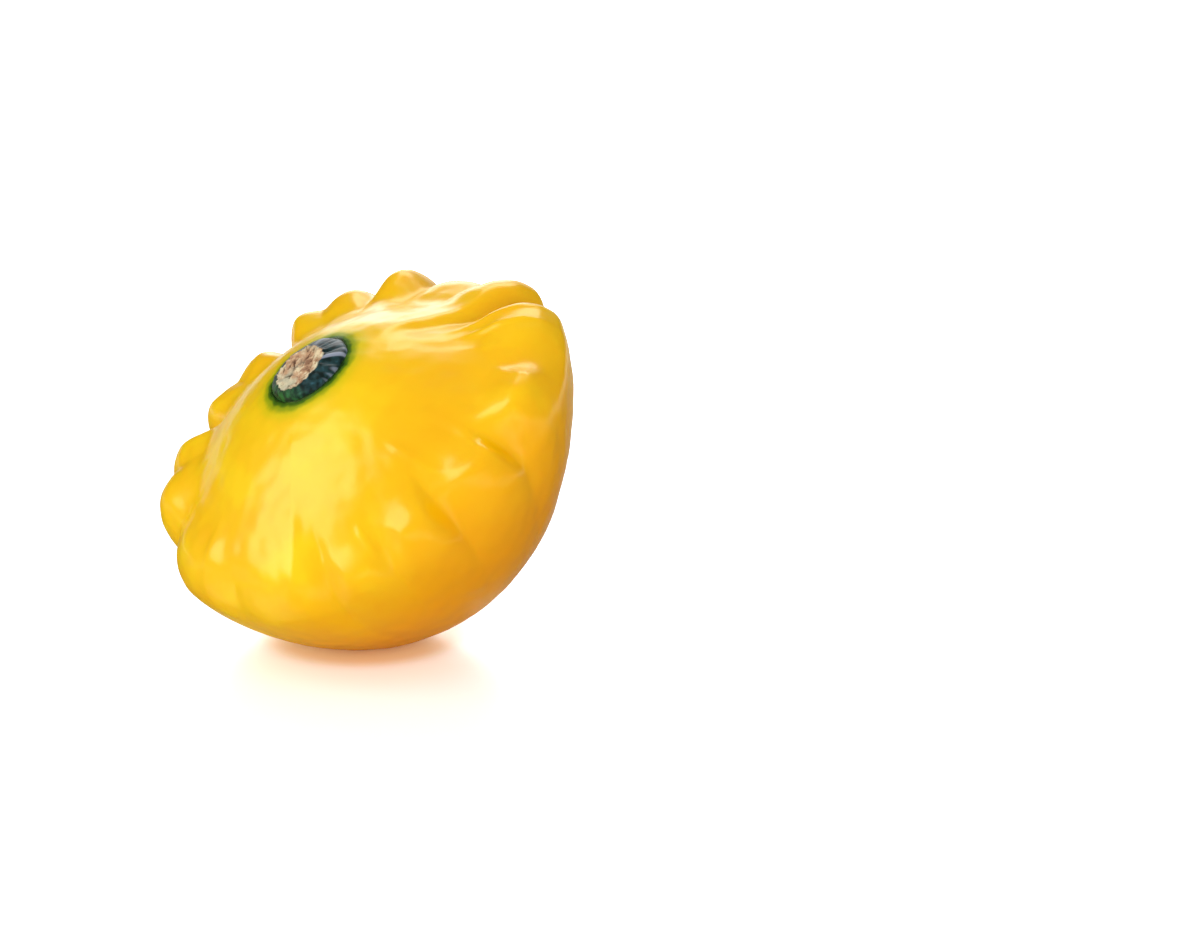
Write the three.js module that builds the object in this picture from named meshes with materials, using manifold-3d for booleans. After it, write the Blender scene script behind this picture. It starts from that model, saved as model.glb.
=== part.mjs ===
// A pattypan, the scalloped yellow summer squash, as picked: one grown fruit and the cut stub of its stalk.
// Millimetres, +Z up. The fruit lies tipped over on its blossom side, the way it comes to rest by itself,
// with the origin on the surface below it, at the middle of the space it takes.
import * as THREE from "three";
import { mergeVertices } from "three/addons/utils/BufferGeometryUtils.js";
import Module from "manifold-3d";

const wasm = await Module();
wasm.setup();

// Driving dimensions, in millimetres and degrees
const rimRadius = 55.5; // the fruit is about 111 across its lobes
const restTilt = 35; // degrees between the stalk's line and the vertical
const leanHeading = 214; // degrees from +X, anticlockwise seen from above, that the stalk leans towards
const groundSpot = 1.8; // depth of the flattened spot where the fruit touches the surface
const stubRadii = [11, 9.8]; // the stalk's oval base where it joins the fruit, the long way and across
const stubHeading = 20; // degrees that the long way points to, in the upright fruit
const stubMiddle = [-1.6, -0.8]; // how far the base lies off the fruit's own middle
const stubHeight = 2.5; // what is left of the stalk after the cut
const fitGap = 0.3; // clearance between the stub and the skin
const skinRings = 26; // rows of faces from the stalk to the blossom end
const skinColumns = 102; // faces once round the fruit
const stubColumns = 40;

// The fruit's outline from the stalk down to the blossom end, as [radius, height] in rim radii. One runs down
// the crest of a well-grown lobe, one down the quiet side, where the rim hardly shows, and one down a groove.
const crestLine = [
  [0, 0.28],
  [0.19, 0.262],
  [0.36, 0.213],
  [0.5, 0.145],
  [0.61, 0.08],
  [0.71, 0.032],
  [0.81, 0.02],
  [0.9, 0],
  [0.965, -0.05],
  [1, -0.13],
  [0.99, -0.22],
  [0.92, -0.41],
  [0.79, -0.63],
  [0.6, -0.85],
  [0.42, -0.965],
  [0.2, -1.03],
  [0, -1.04],
];
const quietLine = [
  [0, 0.28],
  [0.19, 0.262],
  [0.36, 0.213],
  [0.5, 0.15],
  [0.61, 0.091],
  [0.71, 0.034],
  [0.805, -0.026],
  [0.89, -0.09],
  [0.95, -0.155],
  [0.98, -0.22],
  [0.975, -0.29],
  [0.91, -0.44],
  [0.785, -0.64],
  [0.6, -0.85],
  [0.42, -0.965],
  [0.2, -1.03],
  [0, -1.04],
];
const grooveLine = [
  [0, 0.28],
  [0.19, 0.262],
  [0.36, 0.211],
  [0.49, 0.14],
  [0.59, 0.065],
  [0.68, 0],
  [0.76, -0.05],
  [0.83, -0.105],
  [0.88, -0.18],
  [0.905, -0.26],
  [0.905, -0.34],
  [0.87, -0.48],
  [0.77, -0.65],
  [0.595, -0.855],
  [0.42, -0.965],
  [0.2, -1.03],
  [0, -1.04],
];

// The lobes round the rim. Each starts from lobeUsual:
//   at       the angle of its crest, in degrees from the side that leans lowest
//   reach    how far it reaches out beyond the outline above, in millimetres
//   lift     how far it lifts, in millimetres
//   knuckle  a rise between the dip at the dome's foot and the rim, in millimetres
//   knob     a small swelling close to the rim, with a dip above it, in millimetres
//   knobAt   where down the outline that swelling is, from 0 at the stalk to 1 at the blossom end
//   quiet    its share of the quiet line, the rest being the crest line
//   groove   how deep the groove after it is, where 1 goes all the way to the groove line
//   start    where down the outline that groove sets in
//   whole    where down the outline that groove has its whole depth
//   valley   how far round towards the next crest that groove lies, where 0.5 is half way
const lobeUsual = {
  reach: 0,
  lift: 0,
  knuckle: 0,
  knob: 0,
  knobAt: 0.47,
  quiet: 0,
  groove: 0.5,
  start: 0.2,
  whole: 0.4,
  valley: 0.5,
};
const lobes = [
  { at: 38, reach: 1, quiet: 1, knob: 0.5, start: 0.3, whole: 0.42, valley: 0.45 },
  { at: 55, quiet: 1, knob: 1.8, knobAt: 0.55, start: 0.3, whole: 0.45, valley: 0.45 },
  { at: 74, quiet: 1, knob: 2.4, knobAt: 0.5, groove: 0.9, start: 0.28, whole: 0.41, valley: 0.38 },
  { at: 98, reach: 1, quiet: 0.9, knob: 3.2, knobAt: 0.5, start: 0.28, whole: 0.45, valley: 0.4 },
  { at: 119, reach: 2.5, quiet: 0.6, knob: 3.2, knobAt: 0.5, groove: 0.1, start: 0.28, whole: 0.5 },
  { at: 153, reach: 3, knuckle: 1.5, groove: 0.75, start: 0.14, whole: 0.36 },
  { at: 174, reach: 3, lift: -2, knuckle: 1.2, groove: 0.3 },
  { at: 195, reach: -1, lift: -2 },
  { at: 214, reach: 2, lift: 1.5 },
  { at: 232, reach: 2, lift: 1, groove: 0.2 },
  { at: 247, reach: 3, lift: 1, groove: 0.8 },
  { at: 263, reach: 1, groove: 0.2 },
  { at: 282, groove: 0.8 },
  { at: 300, groove: 0.2 },
  { at: 318, groove: 0.6, valley: 0.45 },
  { at: 350, reach: -1, quiet: 0.5, groove: 0.4, start: 0.3 },
];
const grooveRounding = 0.15; // of half a lobe's width: how softly a groove turns at its bottom
const knobFade = 0.6; // how far out of a groove a knob has its whole height, where 1 is the crest
const grooveShare = 0.35; // how much of a lobe's reach and lift the groove beside it takes on

// Places on the outline, from 0 at the stalk to 1 at the blossom end. A lobe's reach and lift set in, are
// whole along the rim, and fade out again.
const rimStart = 0.2;
const rimFull = 0.45;
const rimFade = 0.55;
const rimEnd = 0.88;
const knucklePlace = 0.37; // the middle of a knuckle, and how far it spreads
const knuckleSpread = 0.08;
const knobSpread = 0.085;
const dipBefore = 0.14; // how far above a knob its dip lies, and how far and how deep that goes
const dipSpread = 0.07;
const dipShare = 0.25;

// The stub's outline above the skin, as [share of stubRadii, share of stubHeight]: a hollowed cut face,
// its torn edge, and the flared collar that meets the fruit.
const stubLine = [
  [0, 0.8],
  [0.4, 0.84],
  [0.62, 1],
  [0.7, 0.92],
  [0.8, 0.55],
  [0.92, 0.12],
  [1, -0.35],
];
const stubAngles = 5; // a squash stalk has five ridges
const ridgeHeight = 0.05; // of the radius

const { smoothstep, lerp, degToRad } = THREE.MathUtils;

// What the lobes make of the outline at this angle, between the crests on either side.
function lobeAt(turn) {
  const before = lobes.findLastIndex((lobe) => lobe.at <= turn);
  const from = { ...lobeUsual, ...lobes.at(before) };
  const to = { ...lobeUsual, ...lobes[(before + 1) % lobes.length] };
  const part = ((turn - from.at + 360) % 360) / ((to.at - from.at + 360) % 360);
  const share = part < from.valley ? (0.5 * part) / from.valley : 1 - (0.5 * (1 - part)) / (1 - from.valley);
  const fromGroove = Math.abs(2 * share - 1);
  const widest = Math.hypot(1, grooveRounding) - grooveRounding;
  const rounded = (Math.hypot(fromGroove, grooveRounding) - grooveRounding) / widest;
  const blend = smoothstep(share, 0, 1);
  const lobe = { ...from, dent: from.groove * (1 - rounded) ** 2 };
  for (const key of ["reach", "lift", "knuckle", "knob", "knobAt", "quiet"]) {
    lobe[key] = lerp(from[key], to[key], blend);
  }
  lobe.knob *= smoothstep(rounded, 0, knobFade);
  return lobe;
}

function outlineOf(line) {
  const curve = new THREE.SplineCurve(line.map(([radius, height]) => new THREE.Vector2(radius, height)));
  return curve.getPoints(skinRings);
}

function bell(along, middle, spread) {
  return Math.exp(-(((along - middle) / spread) ** 2));
}

const crests = outlineOf(crestLine);
const quiets = outlineOf(quietLine);
const grooves = outlineOf(grooveLine);

// The skin's radius and height on this ring, counted from the stalk.
function skinPoint(ring, lobe) {
  const along = ring / skinRings;
  const dent = lobe.dent * smoothstep(along, lobe.start, lobe.whole);
  const rim = smoothstep(along, rimStart, rimFull) * (1 - smoothstep(along, rimFade, rimEnd));
  const share = rim * lerp(1, grooveShare, dent);
  const point = crests[ring].clone().lerp(quiets[ring], lobe.quiet).lerp(grooves[ring], dent);
  point.multiplyScalar(rimRadius);
  point.x += share * lobe.reach;
  point.y += share * lobe.lift;
  point.y += lobe.knuckle * bell(along, knucklePlace, knuckleSpread) * (1 - dent);
  point.y += lobe.knob * bell(along, lobe.knobAt, knobSpread);
  point.y -= lobe.knob * dipShare * bell(along, lobe.knobAt - dipBefore, dipSpread);
  return point;
}

// The skin starts as a lathe, and every vertex then moves to where its lobe has it.
function fruitGeometry() {
  const geometry = new THREE.LatheGeometry(crests.toReversed(), skinColumns);
  const place = geometry.attributes.position;
  for (let k = 0; k < place.count; k++) {
    const column = Math.floor(k / crests.length) % skinColumns;
    const ring = skinRings - (k % crests.length);
    const turn = (360 * column) / skinColumns;
    const point = skinPoint(ring, lobeAt(turn));
    const angle = degToRad(turn);
    place.setXYZ(k, point.x * Math.cos(angle), point.x * Math.sin(angle), point.y);
  }
  return geometry;
}

// A blank for the stub, closed well below the skin so that the fruit can be cut out of it.
function stubBlank() {
  const profile = [[0, -1], [1, -1], ...stubLine.toReversed()].map(
    ([radius, height]) => new THREE.Vector2(radius, height * stubHeight),
  );
  const geometry = new THREE.LatheGeometry(profile, stubColumns);
  const place = geometry.attributes.position;
  for (let k = 0; k < place.count; k++) {
    const turn = Math.atan2(place.getX(k), place.getZ(k));
    const ridged = 1 + ridgeHeight * Math.cos(stubAngles * turn);
    const radius = ridged * Math.hypot(place.getX(k), place.getZ(k));
    place.setXYZ(k, radius * Math.cos(turn), radius * Math.sin(turn), place.getY(k));
  }
  const skinTop = crestLine[0][1] * rimRadius;
  return geometry
    .scale(stubRadii[0], stubRadii[1], 1)
    .rotateZ(degToRad(stubHeading))
    .translate(stubMiddle[0], stubMiddle[1], skinTop);
}

// A closed mesh as a solid that can be cut, and a cut solid as a mesh again.
function solidOf(geometry) {
  const bare = geometry.clone().deleteAttribute("normal").deleteAttribute("uv");
  const merged = mergeVertices(bare, 1e-3);
  return new wasm.Manifold(
    new wasm.Mesh({
      numProp: 3,
      vertProperties: merged.attributes.position.array,
      triVerts: new Uint32Array(merged.index.array),
    }),
  );
}

function geometryOf(solid) {
  const { vertProperties, triVerts } = solid.getMesh();
  const geometry = new THREE.BufferGeometry();
  geometry.setAttribute("position", new THREE.BufferAttribute(vertProperties, 3));
  geometry.setIndex(new THREE.BufferAttribute(triVerts, 1));
  geometry.computeVertexNormals();
  return geometry;
}

const skin = fruitGeometry();

// The group tips the upright fruit over and sets it down with its flattened spot on the surface.
const squash = new THREE.Group();
squash.rotation.set(0, degToRad(restTilt), degToRad(leanHeading), "ZYX");
squash.updateMatrix();
const lying = new THREE.Box3().setFromBufferAttribute(
  skin.attributes.position.clone().applyMatrix4(squash.matrix),
);
const middle = lying.getCenter(new THREE.Vector3());
squash.position.set(-middle.x, -middle.y, -lying.min.z - groundSpot);
squash.updateMatrix();

// The surface as a block wider than the fruit, in the fruit's own frame, to cut the flattened spot with.
const ground = new THREE.BoxGeometry(4 * rimRadius, 4 * rimRadius, rimRadius)
  .translate(0, 0, -rimRadius / 2)
  .applyMatrix4(squash.matrix.clone().invert());

const fruit = new THREE.Mesh(
  geometryOf(solidOf(skin).subtract(solidOf(ground))),
  new THREE.MeshStandardMaterial({ color: 0xf7b90a, roughness: 0.32, metalness: 0 }),
);
fruit.name = "squash_fruit";

const stub = new THREE.Mesh(
  geometryOf(solidOf(stubBlank()).subtract(solidOf(skin.clone().translate(0, 0, fitGap)))),
  new THREE.MeshStandardMaterial({ color: 0x4a5a45, roughness: 0.75, metalness: 0 }),
);
stub.name = "stem_stub";

squash.add(fruit, stub);

export default squash;
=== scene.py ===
import math

import bmesh
import bpy
from mathutils import Matrix, Vector, noise


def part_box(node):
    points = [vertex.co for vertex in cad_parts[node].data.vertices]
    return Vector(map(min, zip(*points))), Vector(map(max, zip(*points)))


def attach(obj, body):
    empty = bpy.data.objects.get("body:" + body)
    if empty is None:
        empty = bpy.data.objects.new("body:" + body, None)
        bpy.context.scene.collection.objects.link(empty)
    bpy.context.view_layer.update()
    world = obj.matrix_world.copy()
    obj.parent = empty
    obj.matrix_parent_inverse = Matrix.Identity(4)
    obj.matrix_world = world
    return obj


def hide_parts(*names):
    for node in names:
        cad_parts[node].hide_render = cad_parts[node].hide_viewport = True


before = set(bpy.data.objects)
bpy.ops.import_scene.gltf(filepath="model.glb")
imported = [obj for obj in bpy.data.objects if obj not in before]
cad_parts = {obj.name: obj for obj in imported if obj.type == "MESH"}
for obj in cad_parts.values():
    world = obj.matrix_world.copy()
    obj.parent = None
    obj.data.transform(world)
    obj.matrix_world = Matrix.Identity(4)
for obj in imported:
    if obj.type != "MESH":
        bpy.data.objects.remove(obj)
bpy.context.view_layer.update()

mm = 0.001
fruitLow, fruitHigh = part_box("squash_fruit")
print("frame loaded, the fruit is", [round((b - a) / mm, 1) for a, b in zip(fruitLow, fruitHigh)], "mm")


# small helpers

def smoothStep(x, low, high):
    t = min(max((x - low) / (high - low), 0), 1)
    return t * t * (3 - 2 * t)


def mix(a, b, share):
    return a + (b - a) * share


def bell(x, middle, width):
    return math.exp(-((x - middle) / width) ** 2)


def turnBetween(a, b):
    # degrees from b to a, the short way round
    return (a - b + 180) % 360 - 180


def onLine(points, along):
    # a place on the smooth line through the points, along runs from 0 at the first to 1 at the last
    last = len(points) - 1
    spot = min(max(along, 0), 1) * last
    k = min(int(spot), last - 1)
    t = spot - k
    b, c = points[k], points[k + 1]
    a = points[k - 1] if k > 0 else (-c[0], c[1])
    d = points[k + 2] if k + 2 <= last else (-b[0], b[1])
    return [
        0.5 * (2 * q + (r - p) * t + (2 * p - 5 * q + 4 * r - s) * t ** 2 + (3 * q - p - 3 * r + s) * t ** 3)
        for p, q, r, s in zip(a, b, c, d)
    ]


def toLinear(hexColour):
    channels = [int(hexColour[i:i + 2], 16) / 255 for i in (1, 3, 5)]
    return tuple(c / 12.92 if c <= 0.04045 else ((c + 0.055) / 1.055) ** 2.4 for c in channels) + (1.0,)


def addNode(tree, kind, settings=None, links=None):
    # settings hold a node's own options by name and its sockets by number or name, links hold sockets only
    node = tree.nodes.new(kind)
    for key, value in (settings or {}).items():
        if hasattr(node, str(key)):
            setattr(node, key, value)
    for key, value in (settings or {}).items():
        if not hasattr(node, str(key)):
            node.inputs[key].default_value = value
    for key, source in (links or {}).items():
        tree.links.new(source, node.inputs[key])
    return node


def addRamp(tree, source, stops):
    ramp = addNode(tree, "ShaderNodeValToRGB", links={"Fac": source})
    ramp.color_ramp.interpolation = "EASE"
    while len(ramp.color_ramp.elements) < len(stops):
        ramp.color_ramp.elements.new(0.5)
    for element, (place, value) in zip(ramp.color_ramp.elements, stops):
        element.position = place
        element.color = toLinear(value) if isinstance(value, str) else (value, value, value, 1)
    return ramp.outputs["Color"]


def blendColours(tree, share, under, over):
    # under and over are hex colours or outputs, share is a number or an output
    node = addNode(tree, "ShaderNodeMix", {"data_type": "RGBA"})
    for socket, value in ((0, share), (6, under), (7, over)):
        if isinstance(value, str):
            node.inputs[socket].default_value = toLinear(value)
        elif isinstance(value, (int, float)):
            node.inputs[socket].default_value = value
        else:
            tree.links.new(value, node.inputs[socket])
    return node.outputs[2]


def newMaterial(name):
    material = bpy.data.materials.new(name)
    material.use_nodes = True
    material.node_tree.nodes.clear()
    return material, material.node_tree


def makePiece(bm, name):
    bmesh.ops.remove_doubles(bm, verts=bm.verts, dist=1e-6)
    bmesh.ops.recalc_face_normals(bm, faces=bm.faces)
    for face in bm.faces:
        face.smooth = True
    mesh = bpy.data.meshes.new(name)
    bm.to_mesh(mesh)
    bm.free()
    piece = bpy.data.objects.new(name, mesh)
    bpy.context.scene.collection.objects.link(piece)
    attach(piece, "root")
    return piece


# the camera

view = {
    "lens": 100,
    "sensor": 36,
    "elevation": 17,  # degrees the camera looks down
    "distance": 818.6,
    "aside": 57.9,  # how far right of the fruit it stands
    "below": 1.6,  # and how far under its middle it aims, all in millimetres
}


def setCamera():
    tip = math.radians(view["elevation"])
    right = Vector((1, 0, 0))
    ahead = Vector((0, math.cos(tip), -math.sin(tip)))
    up = Vector((0, math.sin(tip), math.cos(tip)))
    place = (fruitLow + fruitHigh) / 2
    place += (view["aside"] * right - view["below"] * up - view["distance"] * ahead) * mm
    data = bpy.data.cameras.new("studioCamera")
    data.lens = view["lens"]
    data.sensor_width = view["sensor"]
    data.clip_start = 0.01
    camera = bpy.data.objects.new("studioCamera", data)
    camera.matrix_world = Matrix.Translation(place) @ Matrix((right, up, -ahead)).transposed().to_4x4()
    bpy.context.scene.collection.objects.link(camera)
    bpy.context.scene.camera = camera


setCamera()

# the squash, shaped upright in millimetres and then laid down; places down its outline run from 0 at the
# stalk to 1 at the blossom end

squash = {
    "rimRadius": 55.5,
    "restTilt": 35,  # degrees between the stalk's line and the vertical
    "leanHeading": 214,  # degrees from +X that the stalk leans towards
    "groundSpot": 1.8,  # depth of the flattened spot under it
    "groundSoftness": 0.4,  # how gently that spot runs out
    "rings": 140,
    "columns": 680,
    "grooveRounding": 0.15,  # how softly a groove turns at its bottom
    "grooveShare": 0.35,  # how much of a lobe's reach and lift the groove beside it takes on
    "rimStart": 0.2,  # where down the outline reach and lift set in, are whole and fade out again
    "rimFull": 0.45,
    "rimFade": 0.55,
    "rimEnd": 0.88,
    "domeAt": 0.22,  # the middle of the dome's flank and of the knuckles, and how far these spread
    "knuckleAt": 0.37,
    "knuckleSpread": 0.08,
    "knobSpread": 0.085,
    "knobFade": 0.6,  # how far out of a groove a knob is whole, where 1 is the crest
    "dipBefore": 0.14,  # how far above a knob its dip lies, and how far and how deep that goes
    "dipSpread": 0.07,
    "dipShare": 0.25,
    "lumpHeight": 0.2,  # unevenness that a hand feels
    "lumpWidth": 14,
    "pebbleHeight": 0.15,  # and what only breaks up the gloss
    "pebbleWidth": 4,
    "heartDepth": 20,  # how far below the rim lies the middle that the lumps point away from
    "puckerStart": 0.85,  # the blossom end is drawn in a little round its dry scar
    "puckerDepth": 1.4,
    "puckerWidth": 7,
    "puckerFolds": 0.12,  # how high its folds stand, and how many go round
    "foldsRound": 3.2,
    "scarRadius": 3.4,
    "scarEdge": (1.6, 0.8),  # how far out of that the cork fades to rind
    "scarColours": [(0.35, "#6E5232"), (0.65, "#B79A66")],
    "skinColours": [(0.35, "#F8BC00"), (0.5, "#FAC300"), (0.68, "#FCCE04")],
    "patchWidth": 18,
    # deeper orange low down: partly the rind's own colour, partly painted shade
    "lowOrangeAndShade": "#F79E00",
    "lowReach": (-25, -52),  # how far below the rim that sets in and is whole
    # painted shade: more orange on the side away from the lamps, as it lies
    "shadedSideColour": "#F6AC00",
    "shadedSideShare": 0.35,
    "shadedSideReach": (-15, 20),  # and that one across the fruit, as it lies
    "stalkColours": [(0, "#17380A"), (0.05, "#3C6608"), (0.1, "#8E9E00"), (0.2, "#DCC400"), (0.4, "#F2CC00")],
    "stalkShares": [(0, 1.0), (0.15, 0.95), (0.35, 0.45), (1, 0.0)],
    "stalkReach": (1.12, 2.9),  # where the green begins and ends, in radii of the stub
    "stalkDepth": 24,  # keeps it to the stalk's end
    "gloss": 0.27,  # roughness of the wax
}

# down the crest of a lobe, down a quiet one and down the groove beside them, radius and height in rim radii:
# the dome round the stalk, the dip round its foot, the knuckles of the rim and the bowl below them
crestLine = [
    (0, 0.28), (0.19, 0.262), (0.36, 0.213), (0.5, 0.145), (0.61, 0.08), (0.71, 0.032), (0.81, 0.02),
    (0.9, 0), (0.965, -0.05), (1, -0.13), (0.99, -0.22), (0.92, -0.41), (0.79, -0.63), (0.6, -0.85),
    (0.42, -0.965), (0.2, -1.03), (0, -1.04),
]
quietLine = [
    (0, 0.28), (0.19, 0.262), (0.36, 0.213), (0.5, 0.15), (0.61, 0.091), (0.71, 0.034), (0.805, -0.026),
    (0.89, -0.09), (0.95, -0.155), (0.98, -0.22), (0.975, -0.29), (0.91, -0.44), (0.785, -0.64), (0.6, -0.85),
    (0.42, -0.965), (0.2, -1.03), (0, -1.04),
]
grooveLine = [
    (0, 0.28), (0.19, 0.262), (0.36, 0.211), (0.49, 0.14), (0.59, 0.065), (0.68, 0), (0.76, -0.05),
    (0.83, -0.105), (0.88, -0.18), (0.905, -0.26), (0.905, -0.34), (0.87, -0.48), (0.77, -0.65),
    (0.595, -0.855), (0.42, -0.965), (0.2, -1.03), (0, -1.04),
]

# the lobes round the rim, with the groove after each
lobeUsual = {
    "reach": 0,  # how far out the crest goes beyond the line above
    "lift": 0,
    "dome": 0,  # how far the dome's flank is filled out
    "knuckle": 0,  # a rise between the dip at the dome's foot and the rim
    "knob": 0,  # a small swelling near the rim, with a dip above it
    "knobAt": 0.47,  # where down the outline that swelling is
    "quiet": 0,  # share of the quiet line, where the rim hardly shows
    "groove": 0.5,  # share of the way to the groove line
    "start": 0.2,  # where down the outline that groove sets in
    "whole": 0.4,
    "valley": 0.5,  # how far round towards the next crest that groove lies
}
lobes = [
    {"at": 38, "reach": 1, "quiet": 1, "knob": 0.5, "start": 0.3, "whole": 0.42, "valley": 0.45},
    {"at": 55, "quiet": 1, "knob": 1.8, "knobAt": 0.55, "start": 0.3, "whole": 0.45, "valley": 0.45},
    {"at": 74, "quiet": 1, "knob": 2.4, "knobAt": 0.5, "groove": 0.9, "start": 0.28, "whole": 0.41,
     "valley": 0.38},
    {"at": 98, "reach": 1, "quiet": 0.9, "knob": 3.2, "knobAt": 0.5, "start": 0.28, "whole": 0.45,
     "valley": 0.4},
    {"at": 119, "reach": 2.5, "quiet": 0.6, "knob": 3.2, "knobAt": 0.5, "groove": 0.1, "start": 0.28,
     "whole": 0.5},
    {"at": 153, "reach": 3, "dome": 0.1, "knuckle": 1.5, "groove": 0.75, "start": 0.14, "whole": 0.36},
    {"at": 174, "reach": 3, "lift": -2, "dome": 0.3, "knuckle": 1.2, "groove": 0.3},
    {"at": 195, "reach": -1, "lift": -2},
    {"at": 214, "reach": 2, "lift": 1.5},
    {"at": 232, "reach": 2, "lift": 1, "groove": 0.2},
    {"at": 247, "reach": 3, "lift": 1, "groove": 0.8},
    {"at": 263, "reach": 1, "groove": 0.2},
    {"at": 282, "groove": 0.8},
    {"at": 300, "groove": 0.2},
    {"at": 318, "groove": 0.6, "valley": 0.45},
    {"at": 350, "reach": -1, "quiet": 0.5, "groove": 0.4, "start": 0.3, "whole": 0.5},
]

# fine ribs in the skin, each from the dome out toward the rim
ribs = [
    {"at": 0, "bend": 5, "start": 0.25, "end": 0.7, "before": 1.5, "after": 3, "rise": 0.35},
    {"at": 38.8, "bend": -1.5, "start": 0.05, "end": 0.5, "before": 0.8, "after": 0.8, "rise": 0.06},
    {"at": 39.5, "bend": -4, "start": 0.22, "end": 0.54, "before": 6, "after": 2, "rise": 0.7},
    {"at": 59.5, "bend": 2, "start": 0.36, "end": 0.5, "before": 0.9, "after": 0.9, "rise": 0.5},
    {"at": 84.5, "bend": 5, "start": 0.22, "end": 0.44, "before": 1.1, "after": 1.8, "rise": 0.45},
    {"at": 112, "bend": 4, "start": 0.15, "end": 0.36, "before": 4, "after": 4, "rise": 0.25},
    {"at": 120, "bend": -3, "start": 0.32, "end": 0.62, "before": 9, "after": 4, "rise": 1.5},
    {"at": 128.5, "bend": -9, "start": 0.28, "end": 0.7, "before": 4.5, "after": 2.4, "rise": 0.9},
    {"at": 141, "bend": -4, "start": 0.22, "end": 0.5, "before": 0.9, "after": 0.9, "rise": 0.06},
    {"at": 148.5, "bend": -2, "start": 0.24, "end": 0.55, "before": 1.2, "after": 1, "rise": 0.4},
    {"at": 154, "bend": -1, "start": 0.2, "end": 0.55, "before": 1, "after": 1, "rise": 0.3},
    {"at": 160, "bend": 3, "start": 0.12, "end": 0.44, "before": 3, "after": 3, "rise": -0.8},
    {"at": 168, "bend": 2, "start": 0.1, "end": 0.4, "before": 2.5, "after": 2.5, "rise": 0.4},
]


def lobeAt(turn):
    # what the lobes make of the outline at this angle, between the crests on either side
    before = max((k for k, lobe in enumerate(lobes) if lobe["at"] <= turn), default=len(lobes) - 1)
    lobe = {**lobeUsual, **lobes[before]}
    following = {**lobeUsual, **lobes[(before + 1) % len(lobes)]}
    share = (turn - lobe["at"]) % 360 / ((following["at"] - lobe["at"]) % 360)
    valley = lobe["valley"]
    share = 0.5 * share / valley if share < valley else 1 - 0.5 * (1 - share) / (1 - valley)
    soft = squash["grooveRounding"]
    rounded = (math.hypot(2 * share - 1, soft) - soft) / (math.hypot(1, soft) - soft)
    blend = smoothStep(share, 0, 1)
    for key in ("reach", "lift", "dome", "knuckle", "knob", "knobAt", "quiet"):
        lobe[key] = mix(lobe[key], following[key], blend)
    lobe["dent"] = lobe["groove"] * (1 - rounded) ** 2
    lobe["knob"] *= smoothStep(rounded, 0, squash["knobFade"])
    return lobe


def ribRise(turn, along, radius):
    rise = 0
    for rib in ribs:
        share = (along - rib["start"]) / (rib["end"] - rib["start"])
        if 0 < share < 1:
            away = math.radians(turnBetween(turn, rib["at"] + rib["bend"] * share)) * radius
            fade = smoothStep(share, 0, 0.3) * (1 - smoothStep(share, 0.75, 1))
            rise += rib["rise"] * fade * bell(away, 0, rib["before"] if away < 0 else rib["after"])
    return rise


def skinPoint(turn, along, crest, quiet, groove, lobe):
    dent = lobe["dent"] * smoothStep(along, lobe["start"], lobe["whole"])
    rim = smoothStep(along, squash["rimStart"], squash["rimFull"])
    rim *= 1 - smoothStep(along, squash["rimFade"], squash["rimEnd"])
    rim *= mix(1, squash["grooveShare"], dent)
    radius, height = [
        mix(mix(c, q, lobe["quiet"]), g, dent) * squash["rimRadius"] for c, q, g in zip(crest, quiet, groove)
    ]
    radius += rim * lobe["reach"]
    height += rim * lobe["lift"] + lobe["dome"] * bell(along, squash["domeAt"], squash["knuckleSpread"])
    height += lobe["knuckle"] * bell(along, squash["knuckleAt"], squash["knuckleSpread"]) * (1 - dent)
    height += ribRise(turn, along, radius)
    height += lobe["knob"] * bell(along, lobe["knobAt"], squash["knobSpread"])
    dipAt = lobe["knobAt"] - squash["dipBefore"]
    height -= lobe["knob"] * squash["dipShare"] * bell(along, dipAt, squash["dipSpread"])
    angle = math.radians(turn)
    if along > squash["puckerStart"]:
        folds = noise.noise(Vector((math.cos(angle), math.sin(angle), 0)) * squash["foldsRound"])
        folds *= squash["puckerFolds"] * min(radius, 3)
        height += bell(radius, 0, squash["puckerWidth"]) * (squash["puckerDepth"] + folds)
    place = Vector((radius * math.cos(angle), radius * math.sin(angle), height))
    lump = squash["lumpHeight"] * noise.noise(place / squash["lumpWidth"])
    lump += squash["pebbleHeight"] * noise.noise(place / squash["pebbleWidth"])
    outward = Vector((place.x, place.y, 2 * (place.z + squash["heartDepth"]))).normalized()
    return place + outward * lump


def squashSkin():
    rings, columns = squash["rings"], squash["columns"]
    outlines = [[onLine(points, k / rings) for points in (crestLine, quietLine, grooveLine)]
                for k in range(rings + 1)]
    lobesRound = [lobeAt(360 * k / columns) for k in range(columns)]
    bm = bmesh.new()
    ringOf = bm.verts.layers.int.new("ring")
    line = []
    for k in range(rings + 1):
        # the blank is a plain spindle, so that each ring keeps its own height until it is shaped
        vert = bm.verts.new((math.sin(math.pi * k / rings), 0, -k / rings))
        vert[ringOf] = k
        line.append(vert)
    edges = [bm.edges.new(pair) for pair in zip(line, line[1:])]
    bmesh.ops.spin(bm, geom=line + edges, cent=(0, 0, 0), axis=(0, 0, 1), angle=2 * math.pi,
                   steps=columns, use_merge=True)
    bmesh.ops.remove_doubles(bm, verts=bm.verts, dist=1e-6)
    for vert in bm.verts:
        k = vert[ringOf]
        column = round(math.degrees(math.atan2(vert.co.y, vert.co.x)) / 360 * columns) % columns
        vert.co = skinPoint(360 * column / columns, k / rings, *outlines[k], lobesRound[column])
    laid = layingMatrix(bm)
    bmesh.ops.transform(bm, matrix=laid, verts=bm.verts)
    flattenUnder(bm)
    return makePiece(bm, "squashSkin"), laid


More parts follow.
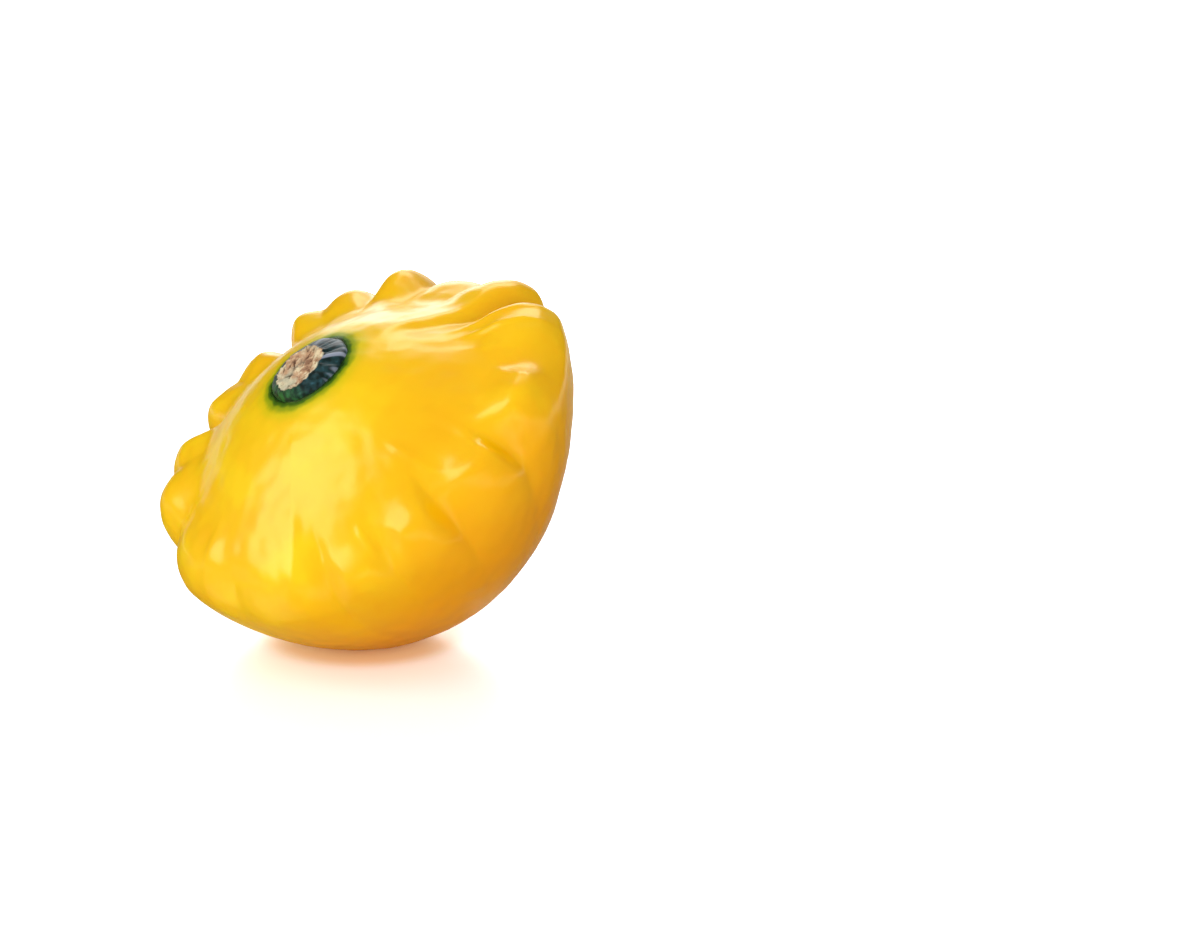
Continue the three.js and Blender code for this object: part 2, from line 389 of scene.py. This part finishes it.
def flattenUnder(bm):
    # the spot it rests on gives a little
    soft = squash["groundSoftness"] * mm
    for vert in bm.verts:
        rise = vert.co.z - fruitLow.z
        if rise < 8 * soft:  # higher up nothing gives
            vert.co.z = fruitLow.z + (rise + math.hypot(rise, soft)) / 2


def layingMatrix(bm):
    # tips the upright fruit over and sets it down where the frame has it
    turned = Matrix.Rotation(math.radians(squash["leanHeading"]), 4, "Z")
    turned = turned @ Matrix.Rotation(math.radians(squash["restTilt"]), 4, "Y") @ Matrix.Scale(mm, 4)
    lying = [turned @ vert.co for vert in bm.verts]
    low, high = [[pick(p[i] for p in lying) for i in range(3)] for pick in (min, max)]
    shift = Vector([(fruitLow[i] + fruitHigh[i] - low[i] - high[i]) / 2 for i in range(3)])
    shift.z = fruitLow.z - low[2] - squash["groundSpot"] * mm
    return Matrix.Translation(shift) @ turned


def uprightPlace(tree):
    # places as they were before the fruit was laid down, in millimetres
    place = addNode(tree, "ShaderNodeTexCoord").outputs["Object"]
    return addNode(tree, "ShaderNodeMapping", {
        "vector_type": "TEXTURE",
        "Location": laid.to_translation(),
        "Rotation": laid.to_euler(),
        "Scale": (mm, mm, mm),
    }, {"Vector": place}).outputs["Vector"]


scarHeight = crestLine[-1][1] * squash["rimRadius"] + squash["puckerDepth"]


def waxyRind():
    # pattypan rind: thin, smooth and waxy, so it gives a soft sheen under a sharper gloss and glows a little
    material, tree = newMaterial("waxyRind")
    upright = uprightPlace(tree)
    split = addNode(tree, "ShaderNodeSeparateXYZ", links={0: upright})
    foot = addNode(tree, "ShaderNodeMapping", {
        "vector_type": "TEXTURE",
        "Location": (*stub["middle"], crestLine[0][1] * squash["rimRadius"]),
        "Rotation": (0, 0, math.radians(stub["heading"])),
        "Scale": (*stub["radii"], squash["stalkDepth"]),
    }, {"Vector": upright}).outputs["Vector"]
    fromStalk = addNode(tree, "ShaderNodeVectorMath", {"operation": "LENGTH"}, {0: foot}).outputs["Value"]
    patches = addNode(tree, "ShaderNodeTexNoise", {"Scale": 1 / squash["patchWidth"], "Detail": 3},
                      {"Vector": upright})
    colour = addRamp(tree, patches.outputs["Fac"], squash["skinColours"])
    # low down toward the blossom end it is deeper orange, partly the rind's own colour and partly painted
    # shade on the underside, and the side turned away from the lamps as it lies is painted a little more
    # orange as shade
    lower = addNode(tree, "ShaderNodeMath", {"operation": "MULTIPLY_ADD", 1: -0.45},
                    {0: split.outputs[1], 2: split.outputs[2]}).outputs[0]
    low, high = squash["lowReach"]
    lower = addNode(tree, "ShaderNodeMapRange", {1: low, 2: high}, {0: lower}).outputs[0]
    colour = blendColours(tree, lower, colour, squash["lowOrangeAndShade"])
    lying = addNode(tree, "ShaderNodeTexCoord").outputs["Object"]
    across = addNode(tree, "ShaderNodeSeparateXYZ", links={0: lying}).outputs[0]
    low, high = squash["shadedSideReach"]
    shaded = {1: low * mm, 2: high * mm, 4: squash["shadedSideShare"]}
    shaded = addNode(tree, "ShaderNodeMapRange", shaded, {0: across}).outputs[0]
    colour = blendColours(tree, shaded, colour, squash["shadedSideColour"])
    wobble = addNode(tree, "ShaderNodeTexNoise", {"Scale": 1 / 4, "Detail": 2}, {"Vector": upright})
    shifted = addNode(tree, "ShaderNodeMath", {"operation": "MULTIPLY_ADD", 1: 0.22},
                      {0: wobble.outputs["Fac"], 2: fromStalk}).outputs[0]
    low, high = squash["stalkReach"]
    near = addNode(tree, "ShaderNodeMapRange", {1: low, 2: high}, {0: shifted}).outputs[0]
    green = addRamp(tree, near, squash["stalkColours"])
    colour = blendColours(tree, addRamp(tree, near, squash["stalkShares"]), colour, green)
    # the blossom's scar is cork with a ragged edge
    fromScar = addNode(tree, "ShaderNodeVectorMath", {"operation": "DISTANCE", 1: (0, 0, scarHeight)},
                       {0: upright}).outputs["Value"]
    ragged = addNode(tree, "ShaderNodeMath", {"operation": "MULTIPLY_ADD", 1: 2.4},
                     {0: wobble.outputs["Fac"], 2: fromScar}).outputs[0]
    low, high = [squash["scarRadius"] + edge for edge in squash["scarEdge"]]
    onScar = addNode(tree, "ShaderNodeMapRange", {1: low, 2: high}, {0: ragged}).outputs[0]
    grain = addNode(tree, "ShaderNodeTexNoise", {"Scale": 1 / 0.9, "Detail": 4}, {"Vector": upright})
    cork = addRamp(tree, grain.outputs["Fac"], squash["scarColours"])
    colour = blendColours(tree, onScar, colour, cork)
    dimples = addNode(tree, "ShaderNodeTexNoise", {"Scale": 1 / 1.6, "Detail": 2}, {"Vector": upright})
    bump = addNode(tree, "ShaderNodeBump", {"Strength": 0.04, "Distance": 0.3 * mm},
                   {"Height": dimples.outputs["Fac"]})
    shader = addNode(tree, "ShaderNodeBsdfPrincipled", {
        "Roughness": squash["gloss"],
        "IOR": 1.58,
        "Specular IOR Level": 0.9,
        "Specular Tint": (1, 1, 0.45, 1),
        "Subsurface Weight": 0.2,
        "Subsurface Radius": (1.0, 0.42, 0.06),
        "Subsurface Scale": 3 * mm,
        "Coat Weight": 0.1,
        "Coat Roughness": 0.1,
        "Coat IOR": 1.42,
    }, {"Base Color": colour, "Normal": bump.outputs[0]})
    addNode(tree, "ShaderNodeOutputMaterial", links={"Surface": shader.outputs[0]})
    return material


# the cut stub of the stalk

stub = {
    "radii": (11, 9.8),  # the long and the short one, where it meets the skin
    "heading": 20,  # degrees, the way the long one points
    "middle": (-1.6, -0.8),
    "cutRadii": (7.6, 6),
    "cutMiddle": (0.4, 0.3),
    "height": 2.4,
    "raggedness": 0.12,  # of the edge of the cut
    "gritHeight": 0.4,
    "foldHeight": 0.45,
    "foldsFace": 150,  # degrees, the side where the collar is thickest and its folds stand highest
    "crackDepth": 0.7,
    "rings": 110,
    "columns": 300,
    "corkColours": [(0.36, "#8A6448"), (0.5, "#BC9470"), (0.64, "#DCC8A2")],
    "corkGrey": "#B9B69A",
    "rimColour": "#D5CDAA",
    # dark brown of the cracks, partly the cork's own and partly painted shade, also painted along the join
    # with the collar
    "crackBrownAndShade": "#4A2E1C",
    "collarColours": [(0.35, "#0E1F1C"), (0.55, "#1C3A3C"), (0.75, "#2C5560")],
    "collarGreens": [(0.38, "#143214"), (0.62, "#2E6E22")],
    "greenFrom": (4, 9.5),  # where toward one side the collar turns green, in millimetres
    # a painted grey highlight on the fold crests, on the side where the folds stand highest
    "foldHighlightColour": "#8E95A6",
}

# out from the middle of the cut, over its torn edge and down the collar to the skin, as shares
stubLine = [
    (0, 0.7), (0.2, 0.72), (0.4, 0.76), (0.55, 0.86), (0.65, 1.0), (0.7, 1.0), (0.76, 0.92), (0.84, 0.72),
    (0.92, 0.4), (0.98, 0.06), (1.0, -0.3), (0.8, -0.5), (0, -0.5),
]
cutEdge = 0.7
stubMarks = ("cutFace", "foldRise", "crack", "foldHighlight", "rim")  # what the mesh tells the material


def oval(radii, middle, turn, share):
    # a place on an oval that points the stub's way, at a share of its size
    heading = math.radians(stub["heading"])
    along, across = radii[0] * share * math.cos(turn - heading), radii[1] * share * math.sin(turn - heading)
    x = along * math.cos(heading) - across * math.sin(heading)
    y = along * math.sin(heading) + across * math.cos(heading)
    return Vector((x + middle[0], y + middle[1], 0))


def stalkStub():
    rings, columns = stub["rings"], stub["columns"]
    bm = bmesh.new()
    layers = {name: bm.verts.layers.float.new(name) for name in stubMarks}
    skinTop = crestLine[0][1] * squash["rimRadius"]
    heading = math.radians(stub["heading"])
    longWay = Vector((math.cos(heading), math.sin(heading), 0))
    line = []
    for k in range(rings + 1):
        radius, height = onLine(stubLine, k / rings)
        line.append(bm.verts.new((max(radius, 0), 0, height)))
    line[0].co.x = line[-1].co.x = 0
    edges = [bm.edges.new(pair) for pair in zip(line, line[1:])]
    bmesh.ops.spin(bm, geom=line + edges, cent=(0, 0, 0), axis=(0, 0, 1), angle=2 * math.pi,
                   steps=columns, use_merge=True)
    bmesh.ops.remove_doubles(bm, verts=bm.verts, dist=1e-6)
    for vert in bm.verts:
        out = math.hypot(vert.co.x, vert.co.y)
        turn = math.atan2(vert.co.y, vert.co.x)
        around = Vector((math.cos(turn), math.sin(turn), 0))
        onTop = 1 if vert.co.z > stubLine[-3][1] + 0.01 else 0
        onCut = 1 - smoothStep(out, cutEdge - 0.03, cutEdge + 0.01)
        ragged = noise.noise(around * 2.2) + noise.noise(around * 4.5) + 0.3 * noise.noise(around * 9)
        ragged = 1 + stub["raggedness"] * ragged
        inner = oval(stub["cutRadii"], stub["cutMiddle"], turn, ragged * min(out / cutEdge, 1))
        flare = 1 + 0.05 * noise.noise(around * 2.2 + Vector((0, 0, 5)))
        outer = oval(stub["radii"], stub["middle"], turn, flare)
        place = inner.lerp(outer, smoothStep(out, cutEdge, 1) if onTop else out)
        collar = smoothStep(out, cutEdge, cutEdge + 0.06) * onTop
        facing = bell(turnBetween(math.degrees(turn), stub["foldsFace"]), 0, 60)
        fold = noise.noise(around * 3.4 + Vector((0, 0, 2 * out)))
        fold += 0.6 * noise.noise(around * 8 + Vector((0, 0, 3 * out)))
        grit = stub["gritHeight"] * noise.noise(place * 0.6) + 0.25 * noise.noise(place * 1.7)
        # cracks run the long way of the cut
        lengthwise = Vector((0.18 * place.dot(longWay), 0.6 * place.cross(longWay).z, 3))
        split = 1 - smoothStep(abs(noise.noise(lengthwise)), 0, 0.08)
        split *= smoothStep(noise.noise(place * 0.3 + Vector((9, 4, 0))), -0.3, 0)
        edgeRise = bell(out, cutEdge - 0.04, 0.05) * (0.3 + 0.9 * noise.noise(around * 9))
        height = vert.co.z * stub["height"]
        height += collar * fold * stub["foldHeight"] * (0.5 + facing)
        height += onCut * onTop * (grit - split * stub["crackDepth"]) + edgeRise * onTop * 0.5
        vert[layers["cutFace"]] = onCut * onTop
        vert[layers["foldRise"]] = fold
        # a dark line in patches where the cut meets the collar, painted shade in that join
        seam = bell(out, cutEdge + 0.015, 0.022) * smoothStep(noise.noise(around * 3), -0.3, 0.2)
        vert[layers["crack"]] = max(split * onCut, seam * onTop)
        # where the painted highlight on the folds is strongest
        vert[layers["foldHighlight"]] = facing
        vert[layers["rim"]] = bell(out, cutEdge - 0.05, 0.07) * onTop
        vert[layers["rim"]] *= 0.4 + 1.4 * noise.noise(around * 3.7)
        vert.co = (place.x, place.y, skinTop + crestSag(place.length) + height)
    bmesh.ops.transform(bm, matrix=laid, verts=bm.verts)
    return makePiece(bm, "stalkStub")


def crestSag(radius):
    # how far the skin has dropped this far out from the stalk's line
    along = radius / squash["rimRadius"] / crestLine[1][0] / (len(crestLine) - 1)
    return (onLine(crestLine, along)[1] - crestLine[0][1]) * squash["rimRadius"]


def corkyStalk():
    # a dried stalk: its skin is dark blue-green with a painted grey highlight on the folds, its cut is pale
    # cracked cork
    material, tree = newMaterial("corkyStalk")
    place = uprightPlace(tree)
    layers = {name: addNode(tree, "ShaderNodeAttribute", {"attribute_name": name}).outputs["Fac"]
              for name in stubMarks}
    cork = addNode(tree, "ShaderNodeTexNoise", {"Scale": 1 / 2, "Detail": 5}, {"Vector": place})
    corkColour = addRamp(tree, cork.outputs["Fac"], stub["corkColours"])
    greyed = addNode(tree, "ShaderNodeTexNoise", {"Scale": 1 / 7, "Detail": 2}, {"Vector": place})
    greyed = addRamp(tree, greyed.outputs["Fac"], [(0.5, 0.0), (0.66, 0.8)])
    corkColour = blendColours(tree, greyed, corkColour, stub["corkGrey"])
    corkColour = blendColours(tree, layers["rim"], corkColour, stub["rimColour"])
    # the cracks are dark brown, partly the cork's own colour and partly painted shade in them; the join with
    # the collar gets painted shade
    corkColour = blendColours(tree, layers["crack"], corkColour, stub["crackBrownAndShade"])
    streaks = addNode(tree, "ShaderNodeTexNoise", {"Scale": 1 / 1.5, "Detail": 3}, {"Vector": place})
    collarColour = addRamp(tree, streaks.outputs["Fac"], stub["collarColours"])
    # it turns green toward one side
    side = addNode(tree, "ShaderNodeSeparateXYZ", links={0: place}).outputs[0]
    low, high = stub["greenFrom"]
    greenSide = addNode(tree, "ShaderNodeMapRange", {1: low, 2: high}, {0: side}).outputs[0]
    greens = addRamp(tree, streaks.outputs["Fac"], stub["collarGreens"])
    collarColour = blendColours(tree, greenSide, collarColour, greens)
    # the fold crests on that side get a painted grey highlight
    onFolds = addRamp(tree, layers["foldRise"], [(0.12, 0.0), (0.45, 1.0)])
    foldHighlighted = addNode(tree, "ShaderNodeMath", {"operation": "MULTIPLY"}, {0: onFolds, 1: layers["foldHighlight"]})
    collarColour = blendColours(tree, foldHighlighted.outputs[0], collarColour, stub["foldHighlightColour"])
    colour = blendColours(tree, layers["cutFace"], collarColour, corkColour)
    bump = addNode(tree, "ShaderNodeBump", {"Strength": 0.5, "Distance": 0.3 * mm},
                   {"Height": cork.outputs["Fac"]})
    rough = addRamp(tree, layers["cutFace"], [(0, 0.38), (1, 0.8)])
    shader = addNode(tree, "ShaderNodeBsdfPrincipled",
                     links={"Base Color": colour, "Roughness": rough, "Normal": bump.outputs[0]})
    addNode(tree, "ShaderNodeOutputMaterial", links={"Surface": shader.outputs[0]})
    return material


# the studio

studio = {
    "worldLight": 0.7,
    "backdropSide": (0.02, 0.965, 0.26),
    "backdropEdge": (0.925, 0.975),  # cosines of the angles from there at which the backdrop ends
    "backdropShine": 1,  # how bright the backdrop is in reflections, and the room the camera stands in
    "roomShine": 0.01,
    "floorSize": 6,
    # a painted shadow and reflection of the fruit in the sheet's glow: dark orange close to it, white further
    # out
    "paintedContactColours": [(0, "#8C4600"), (0.28, "#B4844C"), (0.5, "#D2C8BE"), (1, "#CCCCCC")],
    "paintedContactReach": (10, 50),  # millimetres from the middle of the spot the fruit lies on, as below
    "sheetGlow": (1, 1.7),  # how strongly the sheet glows for the camera near the fruit, and far from it
    "glowReach": (120, 350),
    # what the sheet shows in reflections only: a painted warm glow at the contact, painted shade round the
    # fruit, white far off
    "reflectedShadeColours": [(0, "#FFE0A0"), (0.06, "#6A5434"), (0.38, "#6A5434"), (1, "#FFFFFF")],
    "reflectedShadeReach": (20, 600),
    "coatReach": (500, 250),
    "lamps": [
        # name, direction from the fruit, distance, width, height, power, whether it shows in the gloss;
        # the softbox stands upright and the others face the fruit
        ("softbox", (-0.73, -0.189, 0.66), 0.9, 0.5, 0.92, 3.2, True),
        ("backbox", (0.04, 0.7, 0.72), 1.1, 0.6, 0.4, 2, True),
        ("backlight", (-0.1, 0.95, 0.25), 1.1, 0.36, 0.4, 0.7, True),
        ("fillCard", (0.12, -0.95, 0.11), 0.9, 1.5, 0.3, 4.8, False),
    ],
}


def restingSpot():
    # the middle of the flattened spot the fruit lies on
    touching = [vert.co for vert in skinPiece.data.vertices if vert.co.z < fruitLow.z + 0.3 * mm]
    return sum(touching, Vector()) / len(touching)


def plainFloor():
    # glossy white studio sweep, it mirrors a little of what stands on it
    bm = bmesh.new()
    bmesh.ops.create_grid(bm, x_segments=1, y_segments=1, size=studio["floorSize"] / 2)
    material, tree = newMaterial("whiteSweep")
    path = addNode(tree, "ShaderNodeLightPath")
    place = addNode(tree, "ShaderNodeTexCoord").outputs["Object"]
    fromSpot = addNode(tree, "ShaderNodeVectorMath", {"operation": "DISTANCE", 1: restingSpot()},
                       {0: place}).outputs["Value"]

    def spread(reach, values=(0, 1)):
        # goes from the one value to the other between two distances from that spot
        settings = {1: reach[0] * mm, 2: reach[1] * mm, 3: values[0], 4: values[1]}
        return addNode(tree, "ShaderNodeMapRange", settings, {0: fromSpot}).outputs[0]

    # the sheet glows white for the camera; close to the fruit that glow is painted dark orange, a painted
    # shadow and reflection of the fruit
    paintedContact = addRamp(tree, spread(studio["paintedContactReach"]), studio["paintedContactColours"])
    glow = addNode(tree, "ShaderNodeMath", {"operation": "MULTIPLY"}, {
        0: spread(studio["glowReach"], studio["sheetGlow"]),
        1: path.outputs["Is Camera Ray"],
    }).outputs[0]
    # in reflections the sheet shows a painted warm glow at the fruit's contact and painted shade round it;
    # the far part of the sheet is what a shallow reflection on the dome shows
    mirrored = addRamp(tree, spread(studio["reflectedShadeReach"]), studio["reflectedShadeColours"])
    sheet = blendColours(tree, path.outputs["Is Glossy Ray"], "#F8F8F8", mirrored)
    # the coat ends where nothing stands near enough to be mirrored
    coat = spread(studio["coatReach"])
    shader = addNode(tree, "ShaderNodeBsdfPrincipled", {
        "Roughness": 0.4,
        "Coat IOR": 2.2,
        "Coat Roughness": 0.25,
    }, {"Base Color": sheet, "Coat Weight": coat, "Emission Color": paintedContact, "Emission Strength": glow})
    addNode(tree, "ShaderNodeOutputMaterial", links={"Surface": shader.outputs[0]})
    mesh = bpy.data.meshes.new("studioFloor")
    bm.to_mesh(mesh)
    bm.free()
    mesh.materials.append(material)
    floor = bpy.data.objects.new("studioFloor", mesh)
    bpy.context.scene.collection.objects.link(floor)


def lightStudio():
    middle = (fruitLow + fruitHigh) / 2
    for name, towards, distance, width, height, power, inGloss in studio["lamps"]:
        lamp = bpy.data.lights.new(name, "AREA")
        lamp.shape = "RECTANGLE"
        lamp.size = width
        lamp.size_y = height
        lamp.energy = power
        holder = bpy.data.objects.new(name, lamp)
        holder.visible_glossy = inGloss
        holder.location = middle + Vector(towards).normalized() * distance
        facing = middle - holder.location
        if name == "softbox":
            facing.z = 0
        holder.rotation_euler = facing.to_track_quat("-Z", "Y").to_euler()
        bpy.context.scene.collection.objects.link(holder)
    world = bpy.data.worlds.new("whiteRoom")
    bpy.context.scene.world = world
    world.use_nodes = True
    tree = world.node_tree
    tree.nodes.clear()
    path = addNode(tree, "ShaderNodeLightPath")
    towards = addNode(tree, "ShaderNodeTexCoord").outputs["Generated"]
    behind = addNode(tree, "ShaderNodeVectorMath", {
        "operation": "DOT_PRODUCT",
        1: Vector(studio["backdropSide"]).normalized(),
    }, {0: towards}).outputs["Value"]
    backdrop = addNode(tree, "ShaderNodeMapRange", {
        1: studio["backdropEdge"][0],
        2: studio["backdropEdge"][1],
        3: studio["roomShine"],
        4: studio["backdropShine"],
    }, {0: behind}).outputs[0]
    plain = addNode(tree, "ShaderNodeMix", {2: studio["worldLight"]},
                    {0: path.outputs["Is Glossy Ray"], 3: backdrop}).outputs[0]
    strength = addNode(tree, "ShaderNodeMix", {3: 1.0}, {0: path.outputs["Is Camera Ray"], 2: plain})
    light = addNode(tree, "ShaderNodeBackground", {"Color": (1, 1, 1, 1)}, {"Strength": strength.outputs[0]})
    addNode(tree, "ShaderNodeOutputWorld", links={"Surface": light.outputs[0]})


skinPiece, laid = squashSkin()  # laid turns a place in the upright fruit into one in the frame
skinPiece.data.materials.append(waxyRind())
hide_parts("squash_fruit")
print("squash laid, highest at", round(max(vert.co.z for vert in skinPiece.data.vertices) / mm, 1), "mm")
stubPiece = stalkStub()
stubPiece.data.materials.append(corkyStalk())
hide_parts("stem_stub")
print("stub set on the stalk end")
plainFloor()
lightStudio()
bpy.context.scene.view_settings.view_transform = "Standard"
print("studio lit")
